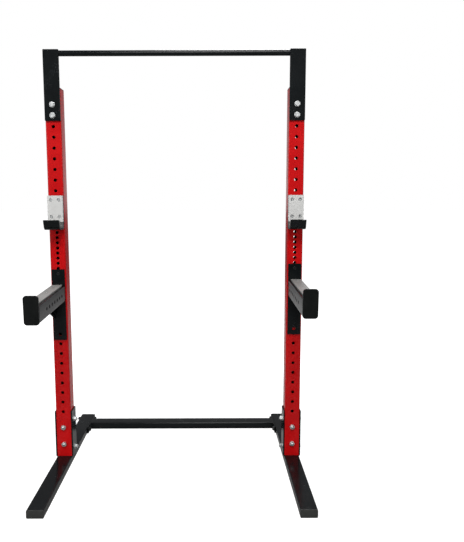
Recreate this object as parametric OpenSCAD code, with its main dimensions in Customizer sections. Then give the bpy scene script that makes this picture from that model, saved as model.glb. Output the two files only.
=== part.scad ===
// Free-standing power rack: two drilled uprights on flat feet, a rear
// crossmember, a bolted pull-up bar, two bar cups and two spotter arms.
// +Z is up, the front is towards -Y, and the origin is on the floor at the
// middle of the footprint.

/* [Uprights] */
// Distance between the centre lines of the two uprights
upright_spacing = 1168; // [900:1:1400]
// Outer width of the square upright tube
upright_w = 76; // [60:1:90]
// Wall of every square and rectangular tube
tube_wall = 3; // [2:0.5:5]
// Outer corner radius of the square and rectangular tubes
tube_corner = 6; // [4:0.5:9]
// Length of an upright, from the foot to its open top
upright_len = 1836; // [1700:1:2200]
// How far the uprights' centre stands behind the middle of the feet
upright_y = 8; // [-40:1:60]

/* [Hole grid] */
// Diameter of the accessory holes
hole_d = 16; // [14:0.5:20]
// Close hole pitch, used in the bench zone
close_pitch = 25.4; // [25.4:0.1:27]
// Height of the lowest hole above the foot
first_hole = 236; // [230:1:260]
// Holes below the bench zone, two close pitches apart
low_hole_count = 9; // [5:1:9]
// Close pitch number of the lowest hole in the bench zone
bench_zone_start = 18; // [18:2:24]
// Close pitch number of the highest hole in the bench zone
bench_zone_end = 42; // [42:2:48]
// Close pitch number of the highest hole of all
last_hole = 62; // [62:2:62]

/* [Base] */
// Length of a foot over its end caps
foot_len = 1100; // [900:10:1400]
// Width of a foot
foot_w = 76; // [70:1:90]
// Height of a foot
foot_h = 38; // [36:1:60]
// Height of the upright bracket above the foot
bracket_h = 237; // [225:1:235]
// Plate of the upright bracket and of the crossmember flanges
bracket_t = 6; // [4:0.5:8]
// Distance of the rear crossmember behind the middle of the feet
crossmember_y = 444; // [380:1:444]
// Length of a crossmember flange
flange_len = 206; // [200:1:210]

/* [Pull-up bar] */
// Width of an end plate
end_plate_w = 75; // [60:1:90]
// Thickness of an end plate
end_plate_t = 9.5; // [6:0.5:12]
// Height of an end plate in close pitches
end_plate_pitches = 13; // [10:1:16]
// Diameter of the pull-up bar
bar_d = 27; // [25:1:38]

/* [Bar cups] */
// Width of a bar cup
cup_w = 75; // [60:1:80]
// Thickness of the bent steel
cup_steel = 8; // [5:0.5:9]
// Thickness of the plastic behind the bar
cup_liner_t = 12; // [8:0.5:15]
// Thickness of the plastic under the bar
cup_seat_t = 9.5; // [6:0.5:12]
// Reach of the bent steel at its floor, from the upright's face
cup_reach = 96; // [88:1:110]
// Lean of the lip away from the upright, in degrees
lip_lean = 20; // [10:1:30]
// Close pitch number of the hole that holds a bar cup
cup_hole = 42; // [34:1:42]

/* [Spotter arms] */
// Close pitch number of the hole that holds the left arm
left_arm_hole = 28; // [26:1:32]
// Close pitch number of the hole that holds the right arm
right_arm_hole = 29; // [26:1:32]
// Width of the arm tube and its mounting plate
arm_w = 64; // [56:1:70]
// Height of the arm tube
arm_h = 76; // [60:1:90]
// Reach of an arm, from the upright's face to the front of its end plate
arm_reach = 460; // [420:5:600]
// How far an arm dips towards its front, in degrees
arm_dip = 2.3; // [0:0.1:4]
// Height of the mounting plate
arm_plate_h = 355; // [345:1:380]
// Width of the plastic strip on top of an arm
arm_liner_w = 50; // [40:1:52]
// Thickness of the plastic strip on top of an arm
arm_liner_t = 6; // [5:0.5:12]
// Number of holes along an arm
arm_hole_count = 7; // [3:1:7]

/* [Hidden] */
LEFT = -1;
RIGHT = 1;
$fn = 48;

eps = 1;                    // how far a cutter runs past what it cuts
body_gap = 0.4;             // clearance between the frame and what hangs on it
plug_gap = 0.2;             // clearance of a cap's plug inside its tube
pin_fit = 0.08;             // radial clearance of an accessory pin in its hole

upright_x = upright_spacing / 2;
upright_front = upright_y - upright_w / 2;
upright_back = upright_y + upright_w / 2;
upright_top = foot_h + upright_len;
hole_base = foot_h + first_hole;

bolt_d = 14;                // base bolts and top bolts
bolt_af = 22;
bolt_head_h = 9;
nut_h = 12;
bolt_spare = 4;             // thread past the nut
washer_d = 28;
washer_t = 2.5;
washer_bore = 15;
small_bolt_d = 12.5;        // crossmember bolts and side bolts
small_bolt_af = 19;
small_head_h = 8;
side_head_h = 6;
small_nut_h = 11;
small_washer_d = 26;
small_washer_t = 2.5;
small_bore = 13.5;

base_bolt_z = [foot_h + 66, foot_h + 155];
side_bolt_z = [foot_h + 36, foot_h + 185];
top_bolt_pitches = [58, 60];
end_plate_start = 57;       // close pitch number of the end plate's lower edge
end_plate_z = hole_base + end_plate_start * close_pitch;
end_plate_h = end_plate_pitches * close_pitch;
end_plate_corner = 4;
bar_wall = 3;
bar_z = end_plate_z + end_plate_h - bar_d / 2 - 1;
bar_len = upright_spacing + 50;

cap_flange = 4;             // visible thickness of a plastic cap
cap_plug = 12;              // depth of a cap's plug
cap_plug_wall = 2.5;
flange_bolt_offset = 80;    // from the crossmember's centre line
crossmember_len = upright_spacing - foot_w - 2 * bracket_t;

pin_d = hole_d - 2 * pin_fit;
pin_past = 12;              // how far a pin comes out behind the upright
pin_lead = 3;               // taper on a pin's far end

cup_pin_z = hole_base + cup_hole * close_pitch;
cup_top = cup_pin_z + 27;
cup_floor = cup_pin_z - 136;
cup_bend = 22;              // outer radius of the two bends
cup_lip_len = 33;           // straight part of the lip past its bend
cup_back_liner_gap = 18;    // from the seat liner's top to the back liner's foot
cup_screw_x = 19;
cup_screw_z = [cup_pin_z - 75.5, cup_pin_z + 6];
cup_screw_d = 8;
cup_screw_head_d = 15;
cup_screw_head_h = 4;
cup_screw_sink = 2.5;       // how far a head sits below the plastic
seat_lip_h = 27;            // height of the seat liner's front wall
lip_lap = 2;                // how far the straight lip runs back into its bend
lip_over = 0.02;            // how much further it reaches there on each side, so that they always join

arm_plate_t = 8;
arm_top_edge = 21;          // plate above the pin's centre
arm_lock_drop = 12 * close_pitch;
arm_tube_drop = 61;         // from the pin's centre down to the tube's top rear edge
arm_tube_over = 2;          // how far the dipped tube runs past the plate before it is cut square
arm_end_t = 10;
arm_end_w = 66;
arm_end_h = 127;
arm_end_above = 45;         // end plate above the tube's top
arm_end_corner = 14;
arm_hole_start = 74;        // from the upright's face
arm_hole_step = 43.5;
arm_gusset_h = 86;
arm_gusset_len = 150;
arm_gusset_edge = 8;        // width left at the gusset's two narrow ends
arm_liner_end_gap = 1;
arm_liner_x = 6;            // how far the strip sits outwards from the tube's centre
arm_screw_d = 6;
arm_screw_head_d = 12;
arm_screw_head_h = 3;
arm_screw_sink = 1;
arm_screw_y = [60, 195, 395];

red = "#bd1c1c";
black = "#1b1f20";
zinc = "#c9ccca";
black_steel = "#252828";
white_plastic = "#d8d8d4";
grey_plastic = "#a6a5a0";
dark_plastic = "#625f5c";
cap_black = "#2e302e";

// ---------------------------------------------------------------- outlines

module rounded_rect(w, h, r) {
    square([w - 2 * r, h], center = true);
    square([w, h - 2 * r], center = true);
    for (x = [-1, 1], y = [-1, 1])
        translate([x * (w / 2 - r), y * (h / 2 - r)]) circle(r = r);
}

module tube_outline(w, h) {
    difference() {
        rounded_rect(w, h, tube_corner);
        rounded_rect(w - 2 * tube_wall, h - 2 * tube_wall, tube_corner - tube_wall);
    }
}

// A sector of a ring from angle a0 to angle a1, both in degrees
module ring_sector(r_in, r_out, a0, a1) {
    reach = 2 * r_out;
    intersection() {
        difference() {
            circle(r = r_out);
            circle(r = r_in);
        }
        polygon([[0, 0], reach * [cos(a0), sin(a0)], reach * [cos((a0 + a1) / 2), sin((a0 + a1) / 2)],
                 reach * [cos(a1), sin(a1)]]);
    }
}

// ---------------------------------------------------- directions and lengths

// Places a child at a side's upright, mirrored so that +X is always outwards
module at_side(side) {
    translate([side * upright_x, 0, 0]) mirror([side < 0 ? 1 : 0, 0, 0]) children();
}

// Turns +Z to +Y
module along_y() { rotate([-90, 0, 0]) children(); }

// Turns +Z to +X
module along_x() { rotate([0, 90, 0]) children(); }

// Extrudes an outline drawn with x forwards from the upright and y upwards
module extrude_side_view(w) {
    translate([w / 2, upright_front, 0]) rotate([90, 0, -90]) linear_extrude(w) children();
}

// --------------------------------------------------------------- fasteners

module hex_prism(af, h) { cylinder(d = af / cos(30), h = h, $fn = 6); }

// Head from z = -head_h to 0, shank upwards from 0
module hex_bolt(d, len, af, head_h) {
    translate([0, 0, -head_h]) hex_prism(af, head_h);
    cylinder(d = d, h = len);
}

module hex_nut(d, af, h) {
    difference() {
        hex_prism(af, h);
        translate([0, 0, -eps]) cylinder(d = d, h = h + 2 * eps);
    }
}

module washer(bore, d, t) {
    difference() {
        cylinder(d = d, h = t);
        translate([0, 0, -eps]) cylinder(d = bore, h = t + 2 * eps);
    }
}

// ------------------------------------------------------------------ uprights

hole_numbers = concat(
    [for (i = [0 : low_hole_count - 1]) 2 * i],
    [for (i = [bench_zone_start : bench_zone_end]) i],
    [for (i = [bench_zone_end + 2 : 2 : last_hole]) i]);

module hole_y(z, d = hole_d) {
    translate([0, upright_front - eps, z]) along_y() cylinder(d = d, h = upright_w + 2 * eps);
}

module upright(side) {
    color(red) at_side(side) difference() {
        translate([0, upright_y, foot_h]) linear_extrude(upright_len) tube_outline(upright_w, upright_w);
        for (n = hole_numbers) hole_y(hole_base + n * close_pitch);
        for (z = base_bolt_z) hole_y(z);
        for (z = side_bolt_z)
            translate([-upright_w / 2 - eps, upright_y, z]) along_x()
                cylinder(d = hole_d, h = upright_w + 2 * eps);
    }
}

// A plug cap for a tube of w by h: its flange lies on z = 0 and rises, its plug hangs below
module tube_cap(w, h) {
    plug_w = w - 2 * tube_wall - 2 * plug_gap;
    plug_h = h - 2 * tube_wall - 2 * plug_gap;
    plug_r = tube_corner - tube_wall;
    linear_extrude(cap_flange) rounded_rect(w, h, tube_corner);
    translate([0, 0, -cap_plug]) linear_extrude(cap_plug) difference() {
        rounded_rect(plug_w, plug_h, plug_r);
        square([plug_w - 2 * cap_plug_wall, plug_h - 2 * cap_plug_wall], center = true);
    }
}

module upright_cap(side) {
    color(cap_black) at_side(side) translate([0, upright_y, upright_top]) tube_cap(upright_w, upright_w);
}

// ---------------------------------------------------------------------- base

foot_tube_len = foot_len - 2 * cap_flange;

module foot(side) {
    color(black) at_side(side) difference() {
        translate([0, -foot_tube_len / 2, foot_h / 2]) along_y() linear_extrude(foot_tube_len)
            tube_outline(foot_w, foot_h);
        for (s = [-1, 1])
            translate([-foot_w / 2 - eps, crossmember_y + s * flange_bolt_offset, foot_h / 2])
                along_x() cylinder(d = small_bore, h = foot_w + 2 * eps);
    }
}

module foot_cap(side, dir) {
    color(cap_black) at_side(side) translate([0, dir * foot_tube_len / 2, foot_h / 2])
        rotate([-90 * dir, 0, 0]) tube_cap(foot_w, foot_h);
}

// A channel welded on the foot: it holds the upright by its back and both sides
module base_bracket(side) {
    outer_w = upright_w + 2 * bracket_t;
    color(black) at_side(side) difference() {
        translate([-outer_w / 2, upright_front, foot_h]) cube([outer_w, upright_w + bracket_t, bracket_h]);
        translate([-upright_w / 2, upright_front - eps, foot_h - eps])
            cube([upright_w, upright_w + eps, bracket_h + 2 * eps]);
        for (z = base_bolt_z)
            translate([0, upright_back - eps, z]) along_y() cylinder(d = hole_d, h = bracket_t + 2 * eps);
        for (z = side_bolt_z)
            translate([-outer_w / 2 - eps, upright_y, z]) along_x()
                cylinder(d = hole_d, h = outer_w + 2 * eps);
    }
}

module rear_crossmember() {
    color(black) translate([-crossmember_len / 2, crossmember_y, foot_h / 2]) along_x()
        linear_extrude(crossmember_len) tube_outline(foot_h, foot_w);
}

module crossmember_flange(side) {
    color(black) at_side(side) difference() {
        translate([-foot_w / 2 - bracket_t, crossmember_y - flange_len / 2, 0])
            cube([bracket_t, flange_len, foot_h]);
        for (s = [-1, 1])
            translate([-foot_w / 2 - bracket_t - eps, crossmember_y + s * flange_bolt_offset, foot_h / 2])
                along_x() cylinder(d = small_bore, h = bracket_t + 2 * eps);
    }
}

// --------------------------------------------------------------- pull-up bar

module end_plate(side) {
    color(black) at_side(side) difference() {
        translate([0, upright_front - end_plate_t, end_plate_z + end_plate_h / 2]) along_y()
            linear_extrude(end_plate_t) rounded_rect(end_plate_w, end_plate_h, end_plate_corner);
        for (n = top_bolt_pitches)
            translate([0, upright_front - end_plate_t - eps, hole_base + n * close_pitch]) along_y()
                cylinder(d = hole_d, h = end_plate_t + 2 * eps);
    }
}

module pull_up_bar() {
    color(black) translate([-bar_len / 2, upright_front + bar_d / 2, bar_z]) along_x() difference() {
        cylinder(d = bar_d, h = bar_len);
        translate([0, 0, -eps]) cylinder(d = bar_d - 2 * bar_wall, h = bar_len + 2 * eps);
    }
}

// ------------------------------------------------------------ frame fasteners

base_grip = upright_w + bracket_t + washer_t;
side_grip = upright_w + 2 * bracket_t + small_washer_t;
flange_grip = foot_w + bracket_t + 2 * small_washer_t;
top_grip = upright_w + end_plate_t + 2 * washer_t;

// Heads behind the bracket, nuts on the upright's face
module at_base_bolts() {
    for (side = [LEFT, RIGHT], z = base_bolt_z) at_side(side)
        translate([0, upright_back + bracket_t, z]) rotate([90, 0, 0]) children();
}

module base_bolts() {
    color(zinc) at_base_bolts() translate([0, 0, -washer_t])
        hex_bolt(bolt_d, base_grip + nut_h + bolt_spare, bolt_af, bolt_head_h);
}

module base_nuts() {
    color(zinc) at_base_bolts() translate([0, 0, upright_w + bracket_t]) hex_nut(bolt_d, bolt_af, nut_h);
}

module base_washers() {
    color(zinc) at_base_bolts() translate([0, 0, -washer_t]) washer(washer_bore, washer_d, washer_t);
}

// Low heads on the outer side of the bracket, nuts and washers on its inner side
module at_side_bolts() {
    for (side = [LEFT, RIGHT], z = side_bolt_z) at_side(side)
        translate([upright_w / 2 + bracket_t, upright_y, z]) rotate([0, -90, 0]) children();
}

module side_bolts() {
    color(zinc) at_side_bolts()
        hex_bolt(small_bolt_d, side_grip + small_nut_h + bolt_spare, small_bolt_af, side_head_h);
}

module side_nuts() {
    color(zinc) at_side_bolts() translate([0, 0, side_grip])
        hex_nut(small_bolt_d, small_bolt_af, small_nut_h);
}

module side_washers() {
    color(zinc) at_side_bolts() translate([0, 0, side_grip - small_washer_t])
        washer(small_bore, small_washer_d, small_washer_t);
}

module at_flange_bolts() {
    for (side = [LEFT, RIGHT], s = [-1, 1]) at_side(side)
        translate([-foot_w / 2 - bracket_t, crossmember_y + s * flange_bolt_offset, foot_h / 2])
            along_x() children();
}

module crossmember_bolts() {
    color(black_steel) at_flange_bolts() translate([0, 0, -small_washer_t])
        hex_bolt(small_bolt_d, flange_grip + small_nut_h + bolt_spare, small_bolt_af, small_head_h);
}

module crossmember_nuts() {
    color(black_steel) at_flange_bolts() translate([0, 0, flange_grip - small_washer_t])
        hex_nut(small_bolt_d, small_bolt_af, small_nut_h);
}

module crossmember_washers() {
    color(black_steel) at_flange_bolts() for (z = [-small_washer_t, flange_grip - 2 * small_washer_t])
        translate([0, 0, z]) washer(small_bore, small_washer_d, small_washer_t);
}

// Heads on the face of the end plate, nuts behind the upright
module at_top_bolts() {
    for (side = [LEFT, RIGHT], n = top_bolt_pitches) at_side(side)
        translate([0, upright_front - end_plate_t, hole_base + n * close_pitch]) along_y() children();
}

module top_bolts() {
    color(zinc) at_top_bolts() translate([0, 0, -washer_t])
        hex_bolt(bolt_d, top_grip + nut_h + bolt_spare, bolt_af, bolt_head_h);
}

module top_nuts() {
    color(zinc) at_top_bolts() translate([0, 0, top_grip - washer_t]) hex_nut(bolt_d, bolt_af, nut_h);
}

module top_washers() {
    color(zinc) at_top_bolts() for (z = [-washer_t, top_grip - 2 * washer_t])
        translate([0, 0, z]) washer(washer_bore, washer_d, washer_t);
}

// ------------------------------------------------------------------ bar cups

// A pin through the upright, from the front of a plate of thickness t
module accessory_pin(z, t) {
    len = body_gap + t + upright_w + pin_past;
    translate([0, upright_front - body_gap - t, z]) along_y() {
        cylinder(d = pin_d, h = len - pin_lead);
        translate([0, 0, len - pin_lead]) cylinder(d1 = pin_d, d2 = pin_d - 2 * pin_lead, h = pin_lead);
    }
}

// The bent strip from the back plate, round the floor and up the leaning lip:
// off is its distance inside the outer bend, t its thickness
module cup_strip(off, t, back_h, lip_len) {
    r_out = cup_bend - off;
    r_in = r_out - t;
    front_x = cup_reach - cup_bend;
    translate([body_gap, cup_floor]) {
        translate([off, cup_bend]) square([t, back_h]);
        translate([cup_bend, cup_bend]) ring_sector(r_in, r_out, 180, 270);
        translate([cup_bend, off]) square([front_x - cup_bend, t]);
        translate([front_x, cup_bend]) {
            ring_sector(r_in, r_out, 270, 360 - lip_lean);
            rotate(-lip_lean) translate([r_in - lip_over, -lip_lap])
                square([t + 2 * lip_over, lip_len + lip_lap]);
        }
    }
}

module cup_bracket(side) {
    color(black) at_side(side) difference() {
        extrude_side_view(cup_w) cup_strip(0, cup_steel, cup_top - cup_floor - cup_bend, cup_lip_len);
        translate([0, upright_front - body_gap - cup_steel - eps, cup_pin_z]) along_y()
            cylinder(d = pin_d, h = cup_steel + 2 * eps);
        at_cup_screws() cylinder(d = cup_screw_d, h = cup_steel + cup_liner_t + eps);
    }
}

module cup_pin(side) {
    color(zinc) at_side(side) accessory_pin(cup_pin_z, cup_steel);
}

// Screw axes, from the front of the back liner towards the upright
module at_cup_screws() {
    for (x = [-1, 1], z = cup_screw_z)
        translate([x * cup_screw_x, upright_front - body_gap - cup_steel - cup_liner_t, z]) along_y()
            children();
}

module cup_back_liner(side) {
    foot_z = cup_floor + cup_steel + cup_seat_t + cup_back_liner_gap;
    color(white_plastic) at_side(side) difference() {
        translate([0, upright_front - body_gap - cup_steel - cup_liner_t, (cup_top + foot_z) / 2]) along_y()
            linear_extrude(cup_liner_t) rounded_rect(cup_w - 1, cup_top - foot_z, 3);
        at_cup_screws() translate([0, 0, -eps])
            cylinder(d = cup_screw_head_d + 1, h = eps + cup_screw_sink + cup_screw_head_h);
        at_cup_screws() cylinder(d = cup_screw_d, h = cup_liner_t + eps);
    }
}

module cup_screws(side) {
    color(zinc) at_side(side) at_cup_screws() {
        translate([0, 0, cup_screw_sink]) cylinder(d = cup_screw_head_d, h = cup_screw_head_h);
        translate([0, 0, cup_screw_sink + cup_screw_head_h])
            cylinder(d = cup_screw_d, h = cup_liner_t + cup_steel - cup_screw_sink - cup_screw_head_h);
    }
}

module cup_seat_liner(side) {
    off = cup_steel + 2 * lip_over;
    back_h = cup_back_liner_gap + cup_steel + cup_seat_t - cup_bend;
    color(dark_plastic) at_side(side) extrude_side_view(cup_w - 1)
        cup_strip(off, cup_steel + cup_seat_t - off, back_h, seat_lip_h);
}

// -------------------------------------------------------------- spotter arms

function arm_hole(side) = side < 0 ? left_arm_hole : right_arm_hole;
function arm_pin_z(side) = hole_base + arm_hole(side) * close_pitch;
arm_tube_start = body_gap + arm_plate_t;
arm_tube_len = arm_reach - arm_end_t - arm_tube_start;

// Places a child with its origin at the pin's centre on the upright's face
module at_arm(side) {
    at_side(side) translate([0, upright_front, arm_pin_z(side)]) children();
}

// Turns what is drawn for a level arm about the tube's top rear edge, so that it dips to the front
module dipped() {
    translate([0, -arm_tube_start, -arm_tube_drop]) rotate([arm_dip, 0, 0])
        translate([0, arm_tube_start, arm_tube_drop]) children();
}

module arm_plate(side) {
    color(black) at_arm(side) difference() {
        translate([0, -arm_tube_start, arm_top_edge - arm_plate_h / 2]) along_y()
            linear_extrude(arm_plate_t) rounded_rect(arm_w, arm_plate_h, 3);
        translate([0, -arm_tube_start - eps, 0]) along_y() cylinder(d = pin_d, h = arm_plate_t + 2 * eps);
        translate([0, -arm_tube_start - eps, -arm_lock_drop]) along_y()
            cylinder(d = hole_d, h = arm_plate_t + 2 * eps);
    }
}

module arm_pin(side) {
    color(black_steel) at_side(side) accessory_pin(arm_pin_z(side), arm_plate_t);
}

module arm_tube(side) {
    color(black) at_arm(side) difference() {
        dipped() difference() {
            translate([0, arm_tube_over - arm_tube_start, -arm_tube_drop - arm_h / 2]) rotate([90, 0, 0])
                linear_extrude(arm_tube_len + arm_tube_over) tube_outline(arm_w, arm_h);
            for (i = [0 : arm_hole_count - 1])
                translate([-arm_w / 2 - eps, -arm_hole_start - i * arm_hole_step, -arm_tube_drop - arm_h / 2])
                    along_x() cylinder(d = hole_d, h = arm_w + 2 * eps);
            for (y = arm_screw_y)
                translate([arm_liner_x, -y, -arm_tube_drop - tube_wall - eps])
                    cylinder(d = arm_screw_d, h = tube_wall + 2 * eps);
        }
        translate([-arm_w, -arm_tube_start, -arm_tube_drop - 2 * arm_h]) cube([2 * arm_w, arm_w, 3 * arm_h]);
    }
}

module arm_end_plate(side) {
    color(black) at_arm(side) dipped()
        translate([0, -arm_reach, -arm_tube_drop + arm_end_above - arm_end_h / 2]) along_y()
            linear_extrude(arm_end_t) rounded_rect(arm_end_w, arm_end_h, arm_end_corner);
}

// The strip lies nearer the tube's outer side
module arm_liner(side) {
    len = arm_tube_len - 2 * arm_liner_end_gap;
    color(grey_plastic) at_arm(side) dipped() difference() {
        translate([arm_liner_x - arm_liner_w / 2, -arm_tube_start - arm_liner_end_gap - len, -arm_tube_drop])
            cube([arm_liner_w, len, arm_liner_t]);
        for (y = arm_screw_y) translate([arm_liner_x, -y, -arm_tube_drop]) {
            translate([0, 0, -eps]) cylinder(d = arm_screw_d, h = arm_liner_t + 2 * eps);
            translate([0, 0, arm_liner_t - arm_screw_sink - arm_screw_head_h])
                cylinder(d = arm_screw_head_d + 1, h = arm_screw_sink + arm_screw_head_h + eps);
        }
    }
}

module arm_screws(side) {
    under_head = arm_liner_t - arm_screw_sink - arm_screw_head_h;
    shank = under_head + tube_wall + 2;
    color(zinc) at_arm(side) dipped() for (y = arm_screw_y)
        translate([arm_liner_x, -y, -arm_tube_drop + under_head]) {
            cylinder(d = arm_screw_head_d, h = arm_screw_head_h);
            translate([0, 0, -shank]) cylinder(d = arm_screw_d, h = shank);
        }
}

// A triangle under the tube, flush with its outer side, its top edge along the dipped underside
module arm_gusset(side) {
    top = -arm_tube_drop - arm_h / cos(arm_dip);
    fall = arm_gusset_len * tan(arm_dip);
    color(black) at_arm(side) translate([arm_w / 2 - tube_corner - bracket_t, -arm_tube_start, top])
        rotate([90, 0, 90]) linear_extrude(bracket_t)
            polygon([[0, 0], [-arm_gusset_len, -fall], [-arm_gusset_len, -fall - arm_gusset_edge],
                     [-arm_gusset_edge, -arm_gusset_h], [0, -arm_gusset_h]]);
}

// -------------------------------------------------------------------- output

upright(LEFT);  // left_upright
upright(RIGHT);  // right_upright
upright_cap(LEFT);  // left_upright_cap
upright_cap(RIGHT);  // right_upright_cap
foot(LEFT);  // left_foot
foot(RIGHT);  // right_foot
foot_cap(LEFT, -1);  // left_foot_front_cap
foot_cap(RIGHT, -1);  // right_foot_front_cap
foot_cap(LEFT, 1);  // left_foot_rear_cap
foot_cap(RIGHT, 1);  // right_foot_rear_cap
base_bracket(LEFT);  // left_base_bracket
base_bracket(RIGHT);  // right_base_bracket
rear_crossmember();
crossmember_flange(LEFT);  // left_crossmember_flange
crossmember_flange(RIGHT);  // right_crossmember_flange
end_plate(LEFT);  // left_end_plate
end_plate(RIGHT);  // right_end_plate
pull_up_bar();
base_bolts();
base_nuts();
base_washers();
side_bolts();
side_nuts();
side_washers();
crossmember_bolts();
crossmember_nuts();
crossmember_washers();
top_bolts();
top_nuts();
top_washers();
cup_bracket(LEFT);  // left_cup_bracket
cup_bracket(RIGHT);  // right_cup_bracket
cup_back_liner(LEFT);  // left_cup_back_liner
cup_back_liner(RIGHT);  // right_cup_back_liner
cup_seat_liner(LEFT);  // left_cup_seat_liner
cup_seat_liner(RIGHT);  // right_cup_seat_liner
cup_pin(LEFT);  // left_cup_pin
cup_pin(RIGHT);  // right_cup_pin
cup_screws(LEFT);  // left_cup_screws
cup_screws(RIGHT);  // right_cup_screws
arm_plate(LEFT);  // left_arm_plate
arm_plate(RIGHT);  // right_arm_plate
arm_tube(LEFT);  // left_arm_tube
arm_tube(RIGHT);  // right_arm_tube
arm_end_plate(LEFT);  // left_arm_end_plate
arm_end_plate(RIGHT);  // right_arm_end_plate
arm_liner(LEFT);  // left_arm_liner
arm_liner(RIGHT);  // right_arm_liner
arm_gusset(LEFT);  // left_arm_gusset
arm_gusset(RIGHT);  // right_arm_gusset
arm_pin(LEFT);  // left_arm_pin
arm_pin(RIGHT);  // right_arm_pin
arm_screws(LEFT);  // left_arm_screws
arm_screws(RIGHT);  // right_arm_screws
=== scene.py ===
import math

import bmesh
import bpy
from mathutils import Matrix, Vector


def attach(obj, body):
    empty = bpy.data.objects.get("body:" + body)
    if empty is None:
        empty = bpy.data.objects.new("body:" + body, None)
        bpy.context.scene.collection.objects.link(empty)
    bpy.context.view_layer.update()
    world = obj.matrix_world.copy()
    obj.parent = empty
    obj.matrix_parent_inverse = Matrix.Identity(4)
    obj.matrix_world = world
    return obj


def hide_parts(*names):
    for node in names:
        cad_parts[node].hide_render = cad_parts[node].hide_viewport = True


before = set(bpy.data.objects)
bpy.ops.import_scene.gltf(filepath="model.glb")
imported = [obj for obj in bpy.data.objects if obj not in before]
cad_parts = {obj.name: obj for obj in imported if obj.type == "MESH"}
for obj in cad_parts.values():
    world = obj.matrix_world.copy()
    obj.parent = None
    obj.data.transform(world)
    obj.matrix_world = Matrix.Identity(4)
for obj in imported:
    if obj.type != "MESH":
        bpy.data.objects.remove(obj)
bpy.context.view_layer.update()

MM = 0.001
TUBE_WALL = 3 * MM
CLEAR_OF_CORNER = 6 * MM     # where a weld starts, from the outside of a rounded tube corner
LEFT, RIGHT = "left", "right"
SIDES = (LEFT, RIGHT)
FORWARDS, BACKWARDS = Vector((0, -1, 0)), Vector((0, 1, 0))
OUTWARDS = {LEFT: Vector((-1, 0, 0)), RIGHT: Vector((1, 0, 0))}


# ------------------------------------------------------------ building node trees

FLOAT, VECTOR, COLOUR = "NodeSocketFloat", "NodeSocketVector", "NodeSocketColor"
GEOMETRY, INTEGER, MATERIAL = "NodeSocketGeometry", "NodeSocketInt", "NodeSocketMaterial"


class Tree:
    """A node tree with short ways to add a node and to wire it up."""

    def __init__(self, tree):
        self.tree = tree

    def add(self, kind, _settings=None, **wires):
        """A node with its properties, and its inputs by name, each a value or a socket to link."""
        node = self.tree.nodes.new(kind)
        for key, value in (_settings or {}).items():
            setattr(node, key, value)
        for key, value in wires.items():
            self.wire(node, key.replace("_", " "), value)
        return node

    def wire(self, node, socket, value):
        target = node.inputs[socket]
        if isinstance(value, bpy.types.NodeSocket):
            self.tree.links.new(value, target)
        else:
            target.default_value = value

    def math(self, operation, *values):
        node = self.tree.nodes.new("ShaderNodeMath")
        node.operation = operation
        for place, value in enumerate(values):
            self.wire(node, place, value)
        return node.outputs[0]

    def vector(self, operation, *values, out=0):
        node = self.tree.nodes.new("ShaderNodeVectorMath")
        node.operation = operation
        for place, value in enumerate(values):
            self.wire(node, place, value)
        return node.outputs[out]

    def spread(self, value, low, high):
        """Maps low to high onto 0 to 1, and holds it there. low may be the larger one."""
        return self.add("ShaderNodeMapRange", Value=value, From_Min=low, From_Max=high).outputs[0]

    def noise(self, place, scale, detail=3.0, rough=0.5):
        wires = {"Vector": place, "Scale": scale, "Detail": detail, "Roughness": rough}
        return self.add("ShaderNodeTexNoise", **wires).outputs[0]

    def blend(self, factor, under, over):
        """A colour that goes from under to over as factor goes from 0 to 1."""
        node = self.tree.nodes.new("ShaderNodeMix")
        node.data_type = "RGBA"
        self.wire(node, 0, factor)
        self.wire(node, 6, under)
        self.wire(node, 7, over)
        return node.outputs[2]

    def use(self, group, **wires):
        """Places a shared effect in this material."""
        return self.add("ShaderNodeGroup", {"node_tree": group}, **wires).outputs[0]


def new_group(name, kind, inputs, outputs):
    """An empty group with named inputs and outputs, and its two end nodes."""
    group = bpy.data.node_groups.new(name, kind)
    for label, socket_type, value in inputs:
        socket = group.interface.new_socket(name=label, in_out="INPUT", socket_type=socket_type)
        if value is not None:
            socket.default_value = value
    for label, socket_type in outputs:
        group.interface.new_socket(name=label, in_out="OUTPUT", socket_type=socket_type)
    start, end = group.nodes.new("NodeGroupInput"), group.nodes.new("NodeGroupOutput")
    return Tree(group), start.outputs, end


# ------------------------------------------------------------ effects shared by the finishes


def orange_peel_group():
    """The soft ripple of sprayed and baked powder, with a finer grain over it."""
    tree, given, end = new_group(
        "Orange peel", "ShaderNodeTree",
        [("Place", VECTOR, None), ("Ripple size", FLOAT, 0.004), ("Grain share", FLOAT, 0.3)],
        [("Height", FLOAT)])
    ripple_scale = tree.math("DIVIDE", 1.0, given["Ripple size"])
    ripple = tree.noise(given["Place"], ripple_scale, detail=1.0)
    grain = tree.noise(given["Place"], tree.math("MULTIPLY", ripple_scale, 5.0), detail=2.0)
    height = tree.math("MULTIPLY_ADD", grain, given["Grain share"], ripple)
    tree.wire(end, "Height", height)
    return tree.tree


def edge_wear_group():
    """Where edges and hole rims are rubbed: 1 on a broken band along each edge."""
    tree, given, end = new_group(
        "Edge wear", "ShaderNodeTree",
        [("Place", VECTOR, None), ("Band", FLOAT, 0.002), ("Chip size", FLOAT, 0.006),
         ("Amount", FLOAT, 0.5)],
        [("Mask", FLOAT)])
    rounded = tree.add("ShaderNodeBevel", {"samples": 4}, Radius=given["Band"]).outputs[0]
    flat = tree.add("ShaderNodeNewGeometry").outputs["Normal"]
    turned = tree.math("SUBTRACT", 1.0, tree.vector("DOT_PRODUCT", rounded, flat, out=1))
    near_edge = tree.spread(turned, 0.02, 0.14)
    chips = tree.noise(given["Place"], tree.math("DIVIDE", 1.0, given["Chip size"]), detail=4.0, rough=0.65)
    limit = tree.math("MULTIPLY_ADD", given["Amount"], -0.35, 0.68)
    chipped = tree.spread(tree.math("SUBTRACT", chips, limit), 0.0, 0.05)
    tree.wire(end, "Mask", tree.math("MULTIPLY", near_edge, chipped))
    return tree.tree


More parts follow.
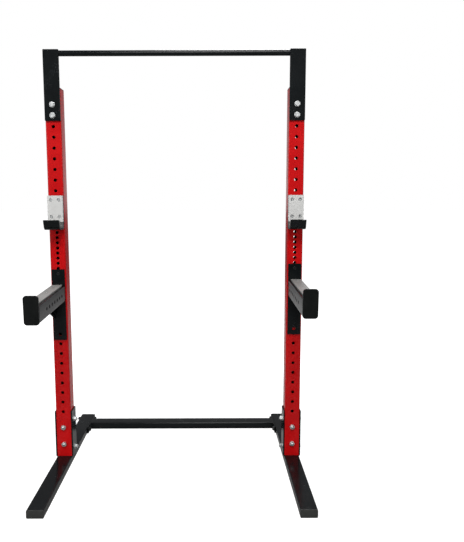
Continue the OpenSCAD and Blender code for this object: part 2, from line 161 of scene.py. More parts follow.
def mottle_group():
    """Slow, cloudy variation of a finish, such as thicker and thinner powder or handling marks."""
    tree, given, end = new_group(
        "Mottle", "ShaderNodeTree",
        [("Place", VECTOR, None), ("Cloud size", FLOAT, 0.15)],
        [("Mask", FLOAT)])
    scale = tree.math("DIVIDE", 1.0, given["Cloud size"])
    clouds = tree.noise(given["Place"], scale, detail=3.0, rough=0.55)
    patches = tree.noise(given["Place"], tree.math("MULTIPLY", scale, 6.0), detail=2.0)
    both = tree.math("MULTIPLY_ADD", patches, 0.35, clouds)
    tree.wire(end, "Mask", tree.spread(both, 0.45, 0.9))
    return tree.tree


def scuffs_group():
    """Thin scratches at two slants, gathered in patches where things rub."""
    tree, given, end = new_group(
        "Scuffs", "ShaderNodeTree",
        [("Place", VECTOR, None), ("Scratch width", FLOAT, 0.0015), ("Amount", FLOAT, 0.5)],
        [("Mask", FLOAT)])
    fine = tree.math("DIVIDE", 1.0, given["Scratch width"])
    lines = []
    for slant, stretch in ((0.35, 0.045), (-1.1, 0.06)):
        turned = tree.add("ShaderNodeMapping", Vector=given["Place"], Rotation=(0.0, slant, slant)).outputs[0]
        thin = tree.vector("MULTIPLY", turned, (stretch, 1.0, 1.0))
        drawn = tree.noise(thin, fine, detail=0.0)
        lines.append(tree.spread(drawn, 0.70, 0.76))
    both = tree.math("MAXIMUM", *lines)
    rubbed = tree.noise(given["Place"], 11.0, detail=2.0)
    limit = tree.math("MULTIPLY_ADD", given["Amount"], -0.3, 0.7)
    patches = tree.spread(tree.math("SUBTRACT", rubbed, limit), 0.0, 0.12)
    tree.wire(end, "Mask", tree.math("MULTIPLY", both, patches))
    return tree.tree


def dust_group():
    """A thin, uneven film on what faces up."""
    tree, given, end = new_group(
        "Dust", "ShaderNodeTree",
        [("Place", VECTOR, None), ("Amount", FLOAT, 0.3)],
        [("Mask", FLOAT)])
    normal = tree.add("ShaderNodeNewGeometry").outputs["Normal"]
    upwards = tree.spread(tree.vector("DOT_PRODUCT", normal, (0.0, 0.0, 1.0), out=1), 0.6, 1.0)
    film = tree.spread(tree.noise(given["Place"], 45.0, detail=5.0, rough=0.6), 0.35, 0.75)
    tree.wire(end, "Mask", tree.math("MULTIPLY", tree.math("MULTIPLY", upwards, film), given["Amount"]))
    return tree.tree


ORANGE_PEEL, EDGE_WEAR, MOTTLE = orange_peel_group(), edge_wear_group(), mottle_group()
SCUFFS, DUST = scuffs_group(), dust_group()


# ------------------------------------------------------------ finishes


def new_material(name):
    """A material with its shader, its tree and the object's own coordinates."""
    made = bpy.data.materials.new(name)
    made.use_nodes = True
    tree = Tree(made.node_tree)
    shader = made.node_tree.nodes["Principled BSDF"]
    place = tree.add("ShaderNodeTexCoord").outputs["Object"]
    return made, tree, shader, place


def bump(tree, shader, height, depth, strength):
    """Feeds a height to the shader's normal; depth is the height of a full step in metres."""
    relief = tree.add("ShaderNodeBump", Height=height, Distance=depth, Strength=strength)
    tree.wire(shader, "Normal", relief.outputs[0])


# Painted shade: a near-black colour for faces inside a tube, standing in for the shade there.
TUBE_INSIDE_SHADE = (0.012, 0.011, 0.010, 1)


def powder_coat(name, thick, thin, worn, dusty, gloss, shine, wear, scuffing, dust):
    """Baked powder on steel. thick and thin are its colour where it lies heavy and light.

    A face marked as inside a tube gets a near-black colour: painted shade for the dark inside of the tube.
    """
    made, tree, shader, place = new_material(name)
    clouds = tree.use(MOTTLE, Place=place, Cloud_size=0.22)
    peel = tree.use(ORANGE_PEEL, Place=place, Ripple_size=0.0035, Grain_share=0.25)
    rubbed = tree.use(EDGE_WEAR, Place=place, Band=0.0016, Chip_size=0.008, Amount=wear)
    scratched = tree.use(SCUFFS, Place=place, Scratch_width=0.0022, Amount=scuffing)
    film = tree.use(DUST, Place=place, Amount=dust)
    colour = tree.blend(clouds, thick, thin)
    colour = tree.blend(tree.math("MAXIMUM", rubbed, tree.math("MULTIPLY", scratched, 0.6)), colour, worn)
    colour = tree.blend(film, colour, dusty)
    # Painted shade: faces marked as inside a tube turn near-black and rougher.
    inside_shade_mask = tree.add("ShaderNodeAttribute", {"attribute_name": "painted_shade_inside"}).outputs["Fac"]
    colour = tree.blend(inside_shade_mask, colour, TUBE_INSIDE_SHADE)
    tree.wire(shader, "Base Color", colour)
    rough = tree.math("MULTIPLY_ADD", clouds, 0.10, gloss)
    rough = tree.math("MULTIPLY_ADD", inside_shade_mask, 0.5, rough)
    rough = tree.math("MULTIPLY_ADD", tree.math("MAXIMUM", rubbed, scratched), 0.22, rough)
    tree.wire(shader, "Roughness", tree.math("MULTIPLY_ADD", film, 0.4, rough))
    shader.inputs["Specular IOR Level"].default_value = shine
    height = tree.math("MULTIPLY_ADD", tree.math("MAXIMUM", rubbed, scratched), -0.6, peel)
    bump(tree, shader, height, 0.00025, 0.05)
    return made


def moulded_plastic(name, base, pale, grubby, gloss, grain_size, relief, scuffing, shine=0.4):
    """Moulded or sawn plastic with a fine grain, grubby marks of use and paler rubbed edges."""
    made, tree, shader, place = new_material(name)
    clouds = tree.use(MOTTLE, Place=place, Cloud_size=0.06)
    grain = tree.use(ORANGE_PEEL, Place=place, Ripple_size=grain_size, Grain_share=0.6)
    rubbed = tree.use(EDGE_WEAR, Place=place, Band=0.0012, Chip_size=0.010, Amount=0.75)
    scratched = tree.use(SCUFFS, Place=place, Scratch_width=0.0012, Amount=scuffing)
    colour = tree.blend(clouds, base, pale)
    colour = tree.blend(tree.math("MULTIPLY", scratched, 0.45), colour, grubby)
    colour = tree.blend(tree.math("MULTIPLY", rubbed, 0.35), colour, pale)
    tree.wire(shader, "Base Color", colour)
    rough = tree.math("MULTIPLY_ADD", clouds, 0.12, gloss)
    tree.wire(shader, "Roughness", tree.math("MULTIPLY_ADD", scratched, 0.15, rough))
    shader.inputs["Specular IOR Level"].default_value = shine
    bump(tree, shader, tree.math("MULTIPLY_ADD", scratched, -0.8, grain), relief, 0.12)
    return made


def bright_metal(name, low, high, dulled, edge, gloss):
    """Plated or blackened steel: faint crystal patches, turning marks and dull spots."""
    made, tree, shader, place = new_material(name)
    crystals = tree.add("ShaderNodeTexVoronoi", Vector=place, Scale=420.0).outputs["Color"]
    patch = tree.add("ShaderNodeSeparateColor", Color=crystals).outputs[0]
    dull = tree.use(MOTTLE, Place=place, Cloud_size=0.012)
    rubbed = tree.use(EDGE_WEAR, Place=place, Band=0.0009, Chip_size=0.004, Amount=0.9)
    colour = tree.blend(patch, low, high)
    colour = tree.blend(tree.math("MULTIPLY", dull, 0.5), colour, dulled)
    tree.wire(shader, "Base Color", tree.blend(rubbed, colour, edge))
    shader.inputs["Metallic"].default_value = 0.92
    rough = tree.math("MULTIPLY_ADD", patch, 0.10, gloss)
    tree.wire(shader, "Roughness", tree.math("MULTIPLY_ADD", dull, 0.18, rough))
    marks = tree.noise(tree.vector("MULTIPLY", place, (1.0, 1.0, 0.25)), 1500.0, detail=2.0)
    bump(tree, shader, marks, 0.0001, 0.25)
    return made


FINISHES = {
    "red_powder_coat": powder_coat(
        "Red powder coat", (0.50, 0.0030, 0.0045, 1), (0.60, 0.0050, 0.0060, 1), (0.36, 0.07, 0.065, 1),
        (0.42, 0.10, 0.095, 1), gloss=0.20, shine=0.22, wear=0.25, scuffing=0.10, dust=0.03),
    "black_powder_coat": powder_coat(
        "Black powder coat", (0.0040, 0.0052, 0.0058, 1), (0.0075, 0.0092, 0.0098, 1),
        (0.055, 0.062, 0.070, 1), (0.040, 0.044, 0.042, 1),
        gloss=0.13, shine=0.16, wear=0.35, scuffing=0.35, dust=0.03),
    "zinc_plated_steel": bright_metal(
        "Zinc plated steel", (0.60, 0.62, 0.62, 1), (0.74, 0.76, 0.76, 1), (0.42, 0.43, 0.42, 1),
        (0.88, 0.89, 0.90, 1), gloss=0.30),
    "black_oxide_steel": bright_metal(
        "Black oxide steel", (0.020, 0.021, 0.022, 1), (0.034, 0.036, 0.037, 1), (0.012, 0.012, 0.011, 1),
        (0.16, 0.165, 0.17, 1), gloss=0.30),
    "white_liner_plastic": moulded_plastic(
        "White liner plastic", (0.60, 0.60, 0.585, 1), (0.68, 0.68, 0.665, 1), (0.30, 0.30, 0.29, 1),
        gloss=0.42, grain_size=0.0012, relief=0.00008, scuffing=0.10),
    "grey_liner_plastic": moulded_plastic(
        "Grey liner plastic", (0.33, 0.325, 0.31, 1), (0.41, 0.405, 0.39, 1), (0.16, 0.155, 0.15, 1),
        gloss=0.30, grain_size=0.0012, relief=0.00012, scuffing=0.6),
    "dark_liner_plastic": moulded_plastic(
        "Dark liner plastic", (0.095, 0.092, 0.088, 1), (0.14, 0.135, 0.13, 1), (0.05, 0.048, 0.045, 1),
        gloss=0.42, grain_size=0.0012, relief=0.00012, scuffing=0.5),
    "black_cap_plastic": moulded_plastic(
        "Black cap plastic", (0.022, 0.023, 0.021, 1), (0.042, 0.043, 0.040, 1), (0.09, 0.09, 0.085, 1),
        gloss=0.40, grain_size=0.0009, relief=0.00015, scuffing=0.5),
    "black_stop_plastic": moulded_plastic(
        "Black stop plate", (0.0040, 0.0048, 0.0046, 1), (0.0075, 0.0085, 0.0080, 1), (0.05, 0.055, 0.055, 1),
        gloss=0.26, grain_size=0.0015, relief=0.0002, scuffing=0.45, shine=0.15),
}


# ------------------------------------------------------------ meshes


def clean_mesh(node):
    """A node's own shape with its triangles joined up and its flat faces made whole."""
    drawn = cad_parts[node].data
    bm = bmesh.new()
    points = [bm.verts.new(v.co) for v in drawn.vertices]
    for face in drawn.polygons:
        bm.faces.new([points[i] for i in face.vertices])
    bmesh.ops.remove_doubles(bm, verts=bm.verts, dist=2e-6)
    bmesh.ops.dissolve_limit(bm, angle_limit=math.radians(0.4), verts=bm.verts, edges=bm.edges)
    return bm


def solids_of(node):
    """The corners of each separate solid of a node, in a fixed order."""
    bm = clean_mesh(node)
    left_over, solids = set(bm.verts), []
    while left_over:
        waiting, corners = [left_over.pop()], []
        while waiting:
            vert = waiting.pop()
            corners.append(vert.co.copy())
            for edge in vert.link_edges:
                other = edge.other_vert(vert)
                if other in left_over:
                    left_over.remove(other)
                    waiting.append(other)
        solids.append(corners)
    bm.free()
    return sorted(solids, key=lambda corners: [round(x, 4) for x in box_of(corners)[0]])


def box_of(corners):
    """The lowest and the highest corner of the box round some points."""
    return [Vector([pick(c[i] for c in corners) for i in range(3)]) for pick in (min, max)]


def new_piece(name, mesh):
    piece = bpy.data.objects.new(name, mesh)
    bpy.context.scene.collection.objects.link(piece)
    return piece


def made_plain(piece):
    """Turns what the piece's modifiers make into its plain mesh, and removes them."""
    bpy.context.view_layer.update()
    now = bpy.context.evaluated_depsgraph_get()
    mesh = bpy.data.meshes.new_from_object(piece.evaluated_get(now), depsgraph=now)
    piece.modifiers.clear()
    piece.data = mesh
    mesh.name = piece.name


def hand_over(piece, body, slot, *nodes):
    """The piece moves with a body and stands for the nodes; slot is not used."""
    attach(piece, body)
    if nodes:
        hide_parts(*nodes)


def rounded(node, radius, body, slot):
    """Stands for a node: its shape with each sharp edge and hole rim rounded."""
    bm = clean_mesh(node)
    mesh = bpy.data.meshes.new(node)
    bm.to_mesh(mesh)
    bm.free()
    mesh.polygons.foreach_set("use_smooth", [True] * len(mesh.polygons))
    piece = new_piece(node + "_finished", mesh)
    soften = piece.modifiers.new("Soft edges", "BEVEL")
    soften.width, soften.segments = radius, 2
    soften.limit_method, soften.angle_limit = "ANGLE", math.radians(32)
    soften.use_clamp_overlap, soften.harden_normals = False, True
    made_plain(piece)
    piece.data.materials.clear()
    piece.data.materials.append(FINISHES[slot])
    hand_over(piece, body, slot, node)
    return piece


# ------------------------------------------------------------ trees for what repeats


def end_of_tree(tree, end, shape, finish):
    """Every tree makes its instances real and gives them their finish."""
    real = tree.add("GeometryNodeRealizeInstances", Geometry=shape).outputs[0]
    tree.wire(end, "Geometry", tree.add("GeometryNodeSetMaterial", Geometry=real, Material=finish).outputs[0])


def lifted(tree, shape, height):
    """Moves a shape along Z."""
    shift = tree.add("ShaderNodeCombineXYZ", Z=height).outputs[0]
    return tree.add("GeometryNodeTransform", Geometry=shape, Translation=shift).outputs[0]


def cylinder(tree, sides, radius, depth):
    return tree.add("GeometryNodeMeshCylinder", Vertices=sides, Radius=radius, Depth=depth).outputs["Mesh"]


CHAMFER_SHARE = 0.95        # diameter of a chamfer's flat circle over the width across flats
LARGEST_TURN = math.radians(60)


def chamfered_hexagon(tree, flats, height, both_ends):
    """A hexagon from z = 0 to height, with the corners turned off at its top, or at both ends."""
    corner = tree.math("DIVIDE", flats, math.sqrt(3))
    prism = lifted(tree, cylinder(tree, 6, corner, height), tree.math("DIVIDE", height, 2.0))
    small = tree.math("MULTIPLY", flats, CHAMFER_SHARE / 2)
    large = tree.math("MULTIPLY_ADD", height, math.sqrt(3), small)
    for top, bottom in ((small, large), (large, small))[: 2 if both_ends else 1]:
        turned = tree.add("GeometryNodeMeshCone", Vertices=36, Depth=height)
        tree.wire(turned, "Radius Top", top)
        tree.wire(turned, "Radius Bottom", bottom)
        cut = tree.add("GeometryNodeMeshBoolean", {"operation": "INTERSECT", "solver": "EXACT"})
        tree.wire(cut, "Mesh 2", prism)
        tree.wire(cut, "Mesh 2", turned.outputs["Mesh"])
        prism = cut.outputs["Mesh"]
    return prism


def without(tree, shape, cutter):
    cut = tree.add("GeometryNodeMeshBoolean", {"operation": "DIFFERENCE", "solver": "EXACT"})
    tree.wire(cut, "Mesh 1", shape)
    tree.wire(cut, "Mesh 2", cutter)
    return cut.outputs["Mesh"]


def joined(tree, *shapes):
    node = tree.tree.nodes.new("GeometryNodeJoinGeometry")
    for shape in shapes:
        tree.wire(node, "Geometry", shape)
    return node.outputs[0]


def placed_along_axes(tree, points, shape, seed):
    """The shape on every point, its Z along the point's axis, each turned about it by chance."""
    axis = tree.add("GeometryNodeInputNamedAttribute", {"data_type": "FLOAT_VECTOR"}, Name="axis")
    aimed = tree.add("FunctionNodeAlignRotationToVector", {"axis": "Z"}, Vector=axis.outputs[0])
    turn = tree.add("FunctionNodeRandomValue", {"data_type": "FLOAT"}, Seed=seed)
    turn.inputs[2].default_value, turn.inputs[3].default_value = 0.0, LARGEST_TURN
    spin = tree.add("FunctionNodeAxisAngleToRotation", Axis=(0.0, 0.0, 1.0), Angle=turn.outputs[1])
    rotation = tree.add("FunctionNodeRotateRotation", {"rotation_space": "LOCAL"},
                        Rotation=aimed.outputs[0], Rotate_By=spin.outputs[0]).outputs[0]
    placed = tree.add("GeometryNodeInstanceOnPoints", Points=points, Instance=shape, Rotation=rotation)
    return placed.outputs[0]


def hex_bolt_tree():
    """Hexagon bolts: the bearing face at z = 0, the head above it, the shank and its thread below."""
    tree, given, end = new_group(
        "Hexagon bolts", "GeometryNodeTree",
        [("Geometry", GEOMETRY, None), ("Across flats", FLOAT, 0.024), ("Head height", FLOAT, 0.010),
         ("Shank diameter", FLOAT, 0.016), ("Shank length", FLOAT, 0.1), ("Thread length", FLOAT, 0.02),
         ("Thread pitch", FLOAT, 0.002), ("Seed", INTEGER, 1), ("Finish", MATERIAL, None)],
        [("Geometry", GEOMETRY)])
    head = chamfered_hexagon(tree, given["Across flats"], given["Head height"], both_ends=False)
    radius = tree.math("DIVIDE", given["Shank diameter"], 2.0)
    depth = tree.math("MULTIPLY", given["Thread pitch"], 0.32)
    core = cylinder(tree, 32, tree.math("SUBTRACT", radius, depth), given["Shank length"])
    core = lifted(tree, core, tree.math("MULTIPLY", given["Shank length"], -0.5))
    plain_length = tree.math("SUBTRACT", given["Shank length"], given["Thread length"])
    plain = cylinder(tree, 32, radius, plain_length)
    plain = lifted(tree, plain, tree.math("MULTIPLY", plain_length, -0.5))
    turns = tree.math("DIVIDE", given["Thread length"], given["Thread pitch"])
    crest = tree.math("SUBTRACT", radius, depth)
    helix = tree.add("GeometryNodeCurveSpiral", Resolution=28, Rotations=turns,
                     Start_Radius=crest, End_Radius=crest,
                     Height=tree.math("MULTIPLY", given["Thread length"], 0.93)).outputs[0]
    ridge = tree.add("GeometryNodeCurvePrimitiveCircle", Resolution=4, Radius=depth).outputs["Curve"]
    thread = tree.add("GeometryNodeCurveToMesh", Curve=helix, Profile_Curve=ridge, Fill_Caps=True)
    thread = thread.outputs[0]
    thread = lifted(tree, thread, tree.math("MULTIPLY_ADD", given["Shank length"], -1.0, depth))
    round_parts = tree.add("GeometryNodeSetShadeSmooth", Geometry=joined(tree, core, plain)).outputs[0]
    bolt = joined(tree, head, round_parts, thread)
    shape = placed_along_axes(tree, given["Geometry"], bolt, given["Seed"])
    end_of_tree(tree, end, shape, given["Finish"])
    return tree.tree


def hex_nut_tree():
    """Hexagon nuts, from z = 0 up, turned at both ends and bored through."""
    tree, given, end = new_group(
        "Hexagon nuts", "GeometryNodeTree",
        [("Geometry", GEOMETRY, None), ("Across flats", FLOAT, 0.024), ("Nut height", FLOAT, 0.013),
         ("Bore", FLOAT, 0.016), ("Seed", INTEGER, 1), ("Finish", MATERIAL, None)],
        [("Geometry", GEOMETRY)])
    nut = chamfered_hexagon(tree, given["Across flats"], given["Nut height"], both_ends=True)
    bore_length = tree.math("MULTIPLY", given["Nut height"], 4.0)
    bore = cylinder(tree, 32, tree.math("DIVIDE", given["Bore"], 2.0), bore_length)
    shape = placed_along_axes(tree, given["Geometry"], without(tree, nut, bore), given["Seed"])
    end_of_tree(tree, end, shape, given["Finish"])
    return tree.tree


def cap_screw_tree():
    """Low cap screws with a hexagon socket: the head's top at z = 0, everything below it."""
    tree, given, end = new_group(
        "Cap screws", "GeometryNodeTree",
        [("Geometry", GEOMETRY, None), ("Head diameter", FLOAT, 0.015), ("Head height", FLOAT, 0.004),
         ("Socket", FLOAT, 0.005), ("Shank diameter", FLOAT, 0.008), ("Length", FLOAT, 0.02),
         ("Seed", INTEGER, 1), ("Finish", MATERIAL, None)],
        [("Geometry", GEOMETRY)])
    height = given["Head height"]
    rim = tree.math("DIVIDE", given["Head diameter"], 2.0)
    dome = tree.math("MULTIPLY", rim, 0.8)
    body = cylinder(tree, 28, rim, tree.math("MULTIPLY", height, 0.6))
    body = lifted(tree, body, tree.math("MULTIPLY", height, -0.7))
    top = tree.add("GeometryNodeMeshCone", Vertices=28, Radius_Top=dome, Radius_Bottom=rim,
                   Depth=tree.math("MULTIPLY", height, 0.4)).outputs["Mesh"]
    top = lifted(tree, top, tree.math("MULTIPLY", height, -0.4))
    socket_corner = tree.math("DIVIDE", given["Socket"], math.sqrt(3))
    socket = cylinder(tree, 6, socket_corner, tree.math("MULTIPLY", height, 1.1))
    shank_length = tree.math("SUBTRACT", given["Length"], height)
    shank = cylinder(tree, 20, tree.math("DIVIDE", given["Shank diameter"], 2.0), shank_length)
    below = tree.math("MULTIPLY", tree.math("ADD", given["Length"], height), -0.5)
    screw = joined(tree, without(tree, top, socket), body, lifted(tree, shank, below))
    shape = placed_along_axes(tree, given["Geometry"], screw, given["Seed"])
    end_of_tree(tree, end, shape, given["Finish"])
    return tree.tree


def weld_bead_tree():
    """A coated fillet weld along each edge of a path: overlapping ripples a short step apart."""
    tree, given, end = new_group(
        "Weld beads", "GeometryNodeTree",
        [("Geometry", GEOMETRY, None), ("Ripple step", FLOAT, 0.0026), ("Bead radius", FLOAT, 0.0035),
         ("Unevenness", FLOAT, 0.12), ("Seed", INTEGER, 1), ("Finish", MATERIAL, None)],
        [("Geometry", GEOMETRY)])
    path = tree.add("GeometryNodeMeshToCurve", Mesh=given["Geometry"]).outputs[0]
    steps = tree.add("GeometryNodeResampleCurve", {"mode": "LENGTH"}, Curve=path, Length=given["Ripple step"])
    ball = tree.add("GeometryNodeMeshUVSphere", Segments=8, Rings=6, Radius=given["Bead radius"])
    drop = tree.add("GeometryNodeTransform", Geometry=ball.outputs["Mesh"], Scale=(1.0, 1.0, 0.62)).outputs[0]
    drop = tree.add("GeometryNodeSetShadeSmooth", Geometry=drop).outputs[0]
    along = tree.add("GeometryNodeInputTangent").outputs[0]
    aimed = tree.add("FunctionNodeAlignRotationToVector", {"axis": "Z"}, Vector=along).outputs[0]
    size = tree.add("FunctionNodeRandomValue", {"data_type": "FLOAT"}, Seed=given["Seed"])
    tree.tree.links.new(tree.math("SUBTRACT", 1.0, given["Unevenness"]), size.inputs[2])
    size.inputs[3].default_value = 1.0
    shape = tree.add("GeometryNodeInstanceOnPoints", Points=steps.outputs[0], Instance=drop,
                     Rotation=aimed, Scale=size.outputs[1])
    end_of_tree(tree, end, shape.outputs[0], given["Finish"])
    return tree.tree


HEX_BOLTS, HEX_NUTS = hex_bolt_tree(), hex_nut_tree()
CAP_SCREWS, WELD_BEADS = cap_screw_tree(), weld_bead_tree()


def grown(name, mesh, tree, values, body, slot, *nodes):
    """A piece that a tree grows on a mesh's points or edges, as a plain mesh."""
    piece = new_piece(name, mesh)
    modifier = piece.modifiers.new(tree.name, "NODES")
    modifier.node_group = tree
    inputs = {s.name: s.identifier for s in tree.interface.items_tree if s.in_out == "INPUT"}
    for label, value in {**values, "Finish": FINISHES[slot]}.items():
        modifier[inputs[label]] = value
    made_plain(piece)
    hand_over(piece, body, slot, *nodes)


def points_with_axes(name, places):
    """A mesh of bare points, each with the axis that its fastener follows."""
    mesh = bpy.data.meshes.new(name)
    mesh.from_pydata([p for p, _ in places], [], [])
    axis = mesh.attributes.new("axis", "FLOAT_VECTOR", "POINT")
    axis.data.foreach_set("vector", [x for _, a in places for x in a])
    return mesh


def seat(corners, axis):
    """Where a solid ends along an axis, on its middle line."""
    middle = sum(box_of(corners), Vector()) / 2
    return middle + axis * (max(c.dot(axis) for c in corners) - middle.dot(axis))


def length_along(corners, axis):
    reaches = [c.dot(axis) for c in corners]
    return max(reaches) - min(reaches)


def outwards(corners):
    return OUTWARDS[LEFT if corners[0].x < 0 else RIGHT]


def inwards(corners):
    return -outwards(corners)


class Thread:
    """A size of bolt with its nut."""

    def __init__(self, diameter, pitch, flats):
        self.diameter, self.pitch, self.flats = diameter, pitch, flats


LARGE = Thread(14 * MM, 2.0 * MM, 22 * MM)
SMALL = Thread(12.5 * MM, 1.75 * MM, 19 * MM)
THREAD_LENGTH = 26 * MM


def bolts(node, head_side, size, head_height, seed, slot="zinc_plated_steel"):
    """Bolts where a node has them; head_side gives the way a solid's head points."""
    solids = solids_of(node)
    places = [(seat(c, head_side(c)) - head_side(c) * head_height, head_side(c)) for c in solids]
    length = length_along(solids[0], head_side(solids[0])) - head_height
    values = {"Across flats": size.flats, "Head height": head_height, "Shank diameter": size.diameter,
              "Shank length": length, "Thread length": THREAD_LENGTH, "Thread pitch": size.pitch,
              "Seed": seed}
    grown(node + "_turned", points_with_axes(node, places), HEX_BOLTS, values, "frame", slot, node)


def nuts(node, nut_side, size, seed, slot="zinc_plated_steel"):
    """Nuts where a node has them; nut_side gives the way from the steel to a nut's free face."""
    solids = solids_of(node)
    places = [(seat(c, -nut_side(c)), nut_side(c)) for c in solids]
    height = length_along(solids[0], nut_side(solids[0]))
    values = {"Across flats": size.flats, "Nut height": height, "Bore": size.diameter, "Seed": seed}
    grown(node + "_turned", points_with_axes(node, places), HEX_NUTS, values, "frame", slot, node)


def screws(node, axis, head_diameter, head_height, socket, diameter, body, seed):
    solids = solids_of(node)
    places = [(seat(c, axis), axis) for c in solids]
    values = {"Head diameter": head_diameter, "Head height": head_height, "Socket": socket,
              "Shank diameter": diameter, "Length": length_along(solids[0], axis), "Seed": seed}
    points = points_with_axes(node, places)
    grown(node + "_turned", points, CAP_SCREWS, values, body, "zinc_plated_steel", node)


def beads(name, runs, radius, body):
    """Weld beads along runs, each a list of corner points."""
    mesh = bpy.data.meshes.new(name)
    corners, edges = [], []
    for run in runs:
        edges += [(len(corners) + i, len(corners) + i + 1) for i in range(len(run) - 1)]
        corners += run
    mesh.from_pydata(corners, edges, [])
    values = {"Ripple step": radius * 0.75, "Bead radius": radius, "Unevenness": 0.12, "Seed": 1}
    grown(name, mesh, WELD_BEADS, values, body, "black_powder_coat")


# ------------------------------------------------------------ the frame

FRAME_PARTS = {
    "rear_crossmember": (0.6, "black_powder_coat"),
    "pull_up_bar": (0.6, "black_powder_coat"),
    "base_washers": (0.35, "zinc_plated_steel"),
    "side_washers": (0.35, "zinc_plated_steel"),
    "crossmember_washers": (0.3, "black_oxide_steel"),
    "top_washers": (0.35, "zinc_plated_steel"),
}
FRAME_PARTS_EACH_SIDE = {
    "upright": (0.5, "red_powder_coat"),
    "upright_cap": (1.2, "black_cap_plastic"),
    "foot": (0.5, "black_powder_coat"),
    "foot_front_cap": (1.2, "black_cap_plastic"),
    "foot_rear_cap": (1.2, "black_cap_plastic"),
    "base_bracket": (0.8, "black_powder_coat"),
    "crossmember_flange": (0.8, "black_powder_coat"),
    "end_plate": (0.9, "black_powder_coat"),
}


def box_of_node(node):
    return box_of([v.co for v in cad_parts[node].data.vertices])


def paint_shade_inside_tube(upright, node):
    """Marks the inner walls of an upright for a near-black colour: painted shade for the dark inside of the
    tube.
    """
    low, high = box_of_node(node)
    middle, room = (low + high) / 2, (high.x - low.x) / 2 - TUBE_WALL + 0.2 * MM
    marks = upright.data.attributes.new("painted_shade_inside", "FLOAT", "FACE")
    for face, mark in zip(upright.data.polygons, marks.data):
        away = face.center - middle
        mark.value = float(abs(away.x) < room and abs(away.y) < room and abs(face.normal.z) < 0.5)


for part, (radius, slot) in FRAME_PARTS.items():
    rounded(part, radius * MM, "frame", slot)
for side in SIDES:
    for part, (radius, slot) in FRAME_PARTS_EACH_SIDE.items():
        piece = rounded(f"{side}_{part}", radius * MM, "frame", slot)
        if part == "upright":
            # Painted shade on the upright's inner walls.
            paint_shade_inside_tube(piece, f"{side}_{part}")


def forwards(corners):
    return FORWARDS


def backwards(corners):
    return BACKWARDS


bolts("base_bolts", backwards, LARGE, head_height=9 * MM, seed=3)
bolts("side_bolts", outwards, SMALL, head_height=6 * MM, seed=4)
bolts("crossmember_bolts", inwards, SMALL, head_height=8 * MM, seed=5, slot="black_oxide_steel")
bolts("top_bolts", forwards, LARGE, head_height=9 * MM, seed=6)
nuts("base_nuts", forwards, LARGE, seed=7)
nuts("side_nuts", inwards, SMALL, seed=8)
nuts("crossmember_nuts", outwards, SMALL, seed=9, slot="black_oxide_steel")
nuts("top_nuts", backwards, LARGE, seed=10)


def frame_welds():
    """Under the brackets' cheeks, behind their webs, at the crossmember's ends and behind the end plates."""
    runs = []
    bar_low, bar_high = box_of_node("pull_up_bar")
    beam_low, beam_high = box_of_node("rear_crossmember")
    bar_middle = (bar_low.z + bar_high.z) / 2
    for side in SIDES:
        low, high = box_of_node(side + "_base_bracket")
        foot_low, foot_high = box_of_node(side + "_foot")
        for x in (foot_low.x, foot_high.x):
            runs.append([(x, low.y + 2 * MM, low.z - 2 * MM), (x, high.y - 2 * MM, low.z - 2 * MM)])
        runs.append([(foot_low.x + 7 * MM, high.y, low.z), (foot_high.x - 7 * MM, high.y, low.z)])
        end = beam_low.x if side == LEFT else beam_high.x
        for y in (beam_low.y, beam_high.y):
            runs.append([(end, y, beam_low.z + CLEAR_OF_CORNER), (end, y, beam_high.z - CLEAR_OF_CORNER)])
        plate_low, plate_high = box_of_node(side + "_end_plate")
        bar_from, bar_to = max(plate_low.x, bar_low.x), min(plate_high.x, bar_high.x)
        behind = plate_high.y + 1 * MM
        for z in (bar_middle - 7 * MM, bar_middle + 7 * MM):
            runs.append([(bar_from + 4 * MM, behind, z), (bar_to - 4 * MM, behind, z)])
    beads("frame_weld_beads", runs, 3 * MM, "frame")


frame_welds()


# ------------------------------------------------------------ what hangs on the frame

CUP_PARTS = {
    "cup_bracket": (1.2, "black_powder_coat"),
    "cup_back_liner": (0.4, "white_liner_plastic"),
    "cup_seat_liner": (1.0, "dark_liner_plastic"),
    "cup_pin": (0.5, "zinc_plated_steel"),
}
ARM_PARTS = {
    "arm_plate": (0.9, "black_powder_coat"),
    "arm_tube": (0.5, "black_powder_coat"),
    "arm_end_plate": (1.5, "black_stop_plastic"),
    "arm_liner": (1.0, "grey_liner_plastic"),
    "arm_gusset": (0.8, "black_powder_coat"),
    "arm_pin": (0.5, "black_oxide_steel"),
}
ARM_DIP = math.radians(2.3)
ARM_UP = Vector((0, -math.sin(ARM_DIP), math.cos(ARM_DIP)))
ARM_ALONG = Vector((0, -math.cos(ARM_DIP), -math.sin(ARM_DIP)))


def arm_welds(side):
    """Round the tube's rear end, up both sides at its front end, and along the gusset."""
    low, high = box_of_node(side + "_arm_tube")
    tube_height, gusset_depth, gusset_length = 76 * MM, 84 * MM, 145 * MM
    slant_at_rear = 3 * MM      # what the dipped tube's square-cut rear adds to its box
    length = (high.y - low.y) / math.cos(ARM_DIP) - slant_at_rear
    corner = Vector((0, high.y, high.z))

    def on_arm(x, along, down):
        return corner + Vector((x, 0, 0)) + ARM_ALONG * along - ARM_UP * down

    inset, ends = 1 * MM, (CLEAR_OF_CORNER, tube_height - CLEAR_OF_CORNER)
    left, right = low.x + inset, high.x - inset
    runs = [[on_arm(x, 0, down) for down in ends] for x in (left, right)]
    runs += [[on_arm(x, length, down) for down in ends] for x in (left, right)]
    runs.append([on_arm(x, 0, tube_height) for x in (low.x + 7 * MM, high.x - 7 * MM)])
    gusset_low, gusset_high = box_of_node(side + "_arm_gusset")
    for x in (gusset_low.x, gusset_high.x):
        plate_foot = Vector((x, high.y, gusset_high.z - gusset_depth))
        runs.append([on_arm(x, gusset_length, tube_height), on_arm(x, 1 * MM, tube_height), plate_foot])
    beads(side + "_arm_weld_beads", runs, 2.2 * MM, f"{side}_spotter_arm")


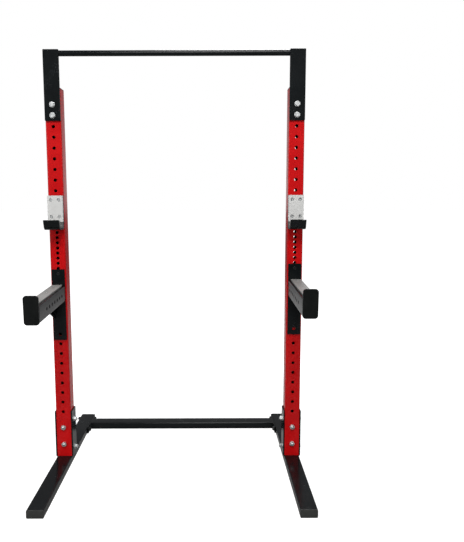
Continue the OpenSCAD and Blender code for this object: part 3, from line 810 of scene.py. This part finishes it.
for side in SIDES:
    cup, arm = f"{side}_bar_cup", f"{side}_spotter_arm"
    for part, (radius, slot) in CUP_PARTS.items():
        rounded(f"{side}_{part}", radius * MM, cup, slot)
    for part, (radius, slot) in ARM_PARTS.items():
        rounded(f"{side}_{part}", radius * MM, arm, slot)
    screws(f"{side}_cup_screws", FORWARDS, 15 * MM, 4 * MM, 6 * MM, 8 * MM, cup, 11)
    screws(f"{side}_arm_screws", ARM_UP, 12 * MM, 3 * MM, 5 * MM, 6 * MM, arm, 12)
    arm_welds(side)


# ------------------------------------------------------------ floor, light and camera


def pale_floor():
    """A plain pale floor out to the horizon, lighter behind. It stays pale where little light falls."""
    made, tree, shader, place = new_material("Pale floor")
    cloudy = tree.noise(place, 3.0, detail=4.0)
    near = tree.blend(cloudy, (0.33, 0.33, 0.325, 1), (0.37, 0.37, 0.365, 1))
    behind = tree.spread(tree.add("ShaderNodeSeparateXYZ", Vector=place).outputs["Y"], -0.3, 1.6)
    tree.wire(shader, "Base Color", tree.blend(behind, near, (0.80, 0.80, 0.795, 1)))
    shader.inputs["Roughness"].default_value = 0.8
    seen = tree.add("ShaderNodeLightPath").outputs["Is Camera Ray"]
    shader.inputs["Emission Color"].default_value = (1, 1, 1, 1)
    tree.wire(shader, "Emission Strength", tree.math("MULTIPLY", seen, 0.95))
    half = 60.0
    mesh = bpy.data.meshes.new("floor")
    corners = [(-half, -half, 0), (half, -half, 0), (half, half, 0), (-half, half, 0)]
    mesh.from_pydata(corners, [], [(0, 1, 2, 3)])
    mesh.materials.append(made)
    floor = new_piece("floor", mesh)


def soft_light(name, place, aim, size, power):
    light = bpy.data.lights.new(name, "AREA")
    light.shape, light.size, light.energy = "DISK", size, power
    lamp = new_piece(name, light)
    lamp.location = place
    lamp.rotation_euler = (Vector(aim) - Vector(place)).to_track_quat("-Z", "Y").to_euler()


def studio():
    """A white room with soft lights, that shiny faces mirror as a pale band low down behind."""
    world = bpy.data.worlds.new("Studio")
    world.use_nodes = True
    bpy.context.scene.world = world
    tree = Tree(world.node_tree)
    background = world.node_tree.nodes["Background"]
    ray = tree.add("ShaderNodeLightPath").outputs
    way = tree.add("ShaderNodeSeparateXYZ", Vector=tree.add("ShaderNodeTexCoord").outputs["Generated"])
    low_behind = tree.math("MULTIPLY", tree.spread(way.outputs["Y"], -0.3, 0.7),
                           tree.spread(way.outputs["Z"], 0.22, 0.02))
    mirrored = tree.blend(low_behind, (0.22, 0.22, 0.23, 1), (0.86, 0.87, 0.88, 1))
    room = tree.blend(ray["Is Glossy Ray"], (0.13, 0.13, 0.135, 1), mirrored)
    tree.wire(background, "Color", tree.blend(ray["Is Camera Ray"], room, (1, 1, 1, 1)))
    soft_light("Left soft light", (-3.6, -3.6, 1.8), (0, 0, 1.0), 1.8, 58)
    soft_light("Right soft light", (3.6, -4.2, 1.9), (0, 0, 1.0), 1.8, 26)
    soft_light("Top soft light", (0.1, -3.5, 4.5), (0, 0, 0.8), 2.2, 175)
    soft_light("Rear soft light", (0.6, 3.8, 4.6), (0, 0, 0.9), 2.2, 110)


def camera():
    data = bpy.data.cameras.new("Camera")
    data.sensor_width, data.lens = 36.0, 37.99
    data.shift_x, data.shift_y = 0.0447, -0.0037
    eye = new_piece("Camera", data)
    eye.location = (0.155, -2.837, 1.350)
    tilt = Matrix.Rotation(math.radians(83.01), 3, "X")
    roll = Matrix.Rotation(math.radians(-0.16), 3, "Z")
    eye.rotation_euler = (tilt @ roll).to_euler()
    bpy.context.scene.camera = eye


pale_floor()
studio()
camera()
bpy.context.scene.view_settings.view_transform = "Standard"
